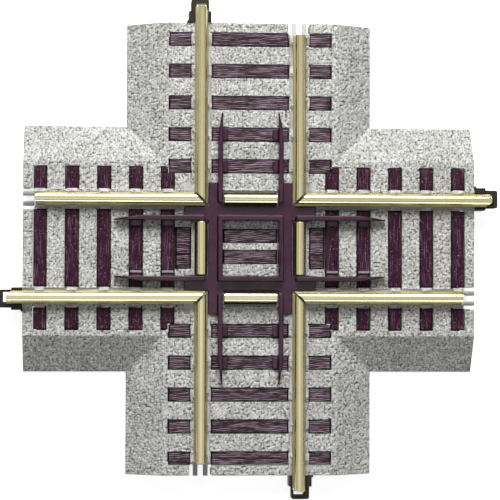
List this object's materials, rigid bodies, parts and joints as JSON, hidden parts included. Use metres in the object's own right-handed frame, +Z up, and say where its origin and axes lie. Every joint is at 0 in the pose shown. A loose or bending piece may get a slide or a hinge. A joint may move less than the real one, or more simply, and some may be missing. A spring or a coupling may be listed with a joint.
{
  "type": "railway crossing track section",
  "caption": "Square crossing of two model railway tracks on a moulded ballast roadbed, with mitred rails, guard rails and push-on rail joiners.",
  "frame": {"origin": "centre of the crossing on the surface that the roadbed stands on", "axes": "+Z up; one track runs along X and the other along Y, with +Y at the top of the picture"},
  "size_m": [0.1262, 0.1262, 0.0109],
  "materials": {
    "ballast_plastic": "matte light grey with moulded pebbles",
    "tie_plastic": "matte purple brown with moulded wood grain",
    "guard_plastic": "satin purple brown",
    "rail_metal": "drawn nickel silver, pale gold, satin",
    "joiner_plastic": "satin black brown",
    "contact_metal": "rolled brass strip",
    "cover_plastic": "matte black",
    "screw_steel": "zinc plated"
  },
  "bodies": {
    "crossing": {"roadbed": "ballast_plastic", "guard_frog_moulding": "guard_plastic", "centre_tie_insert": "tie_plastic", "side_tie_insert_east": "tie_plastic", "side_tie_insert_west": "tie_plastic", "tie_frame_north": "tie_plastic", "rail_north_left": "rail_metal", "rail_north_right": "rail_metal", "closure_rail_north": "rail_metal", "cover_screw_north_east": "screw_steel", "tie_frame_west": "tie_plastic", "rail_west_left": "rail_metal", "rail_west_right": "rail_metal", "closure_rail_west": "rail_metal", "cover_screw_north_west": "screw_steel", "tie_frame_south": "tie_plastic", "rail_south_left": "rail_metal", "rail_south_right": "rail_metal", "closure_rail_south": "rail_metal", "cover_screw_south_west": "screw_steel", "tie_frame_east": "tie_plastic", "rail_east_left": "rail_metal", "rail_east_right": "rail_metal", "closure_rail_east": "rail_metal", "cover_screw_south_east": "screw_steel", "jumper_bar_west": "contact_metal", "jumper_bar_east": "contact_metal", "jumper_bar_north": "contact_metal", "jumper_bar_south": "contact_metal", "bottom_cover": "cover_plastic"},
    "joiner_north": {"joiner_housing_north": "joiner_plastic", "joiner_contact_north": "contact_metal"},
    "joiner_west": {"joiner_housing_west": "joiner_plastic", "joiner_contact_west": "contact_metal"},
    "joiner_south": {"joiner_housing_south": "joiner_plastic", "joiner_contact_south": "contact_metal"},
    "joiner_east": {"joiner_housing_east": "joiner_plastic", "joiner_contact_east": "contact_metal"}
  },
  "joints": [
    {"name": "joiner_north_slide", "type": "slide", "parent": "crossing", "child": "joiner_north", "axis": [0, 1, 0], "range_m": [0, 0.008]},
    {"name": "joiner_west_slide", "type": "slide", "parent": "crossing", "child": "joiner_west", "axis": [-1, 0, 0], "range_m": [0, 0.008]},
    {"name": "joiner_south_slide", "type": "slide", "parent": "crossing", "child": "joiner_south", "axis": [0, -1, 0], "range_m": [0, 0.008]},
    {"name": "joiner_east_slide", "type": "slide", "parent": "crossing", "child": "joiner_east", "axis": [1, 0, 0], "range_m": [0, 0.008]}
  ]
}
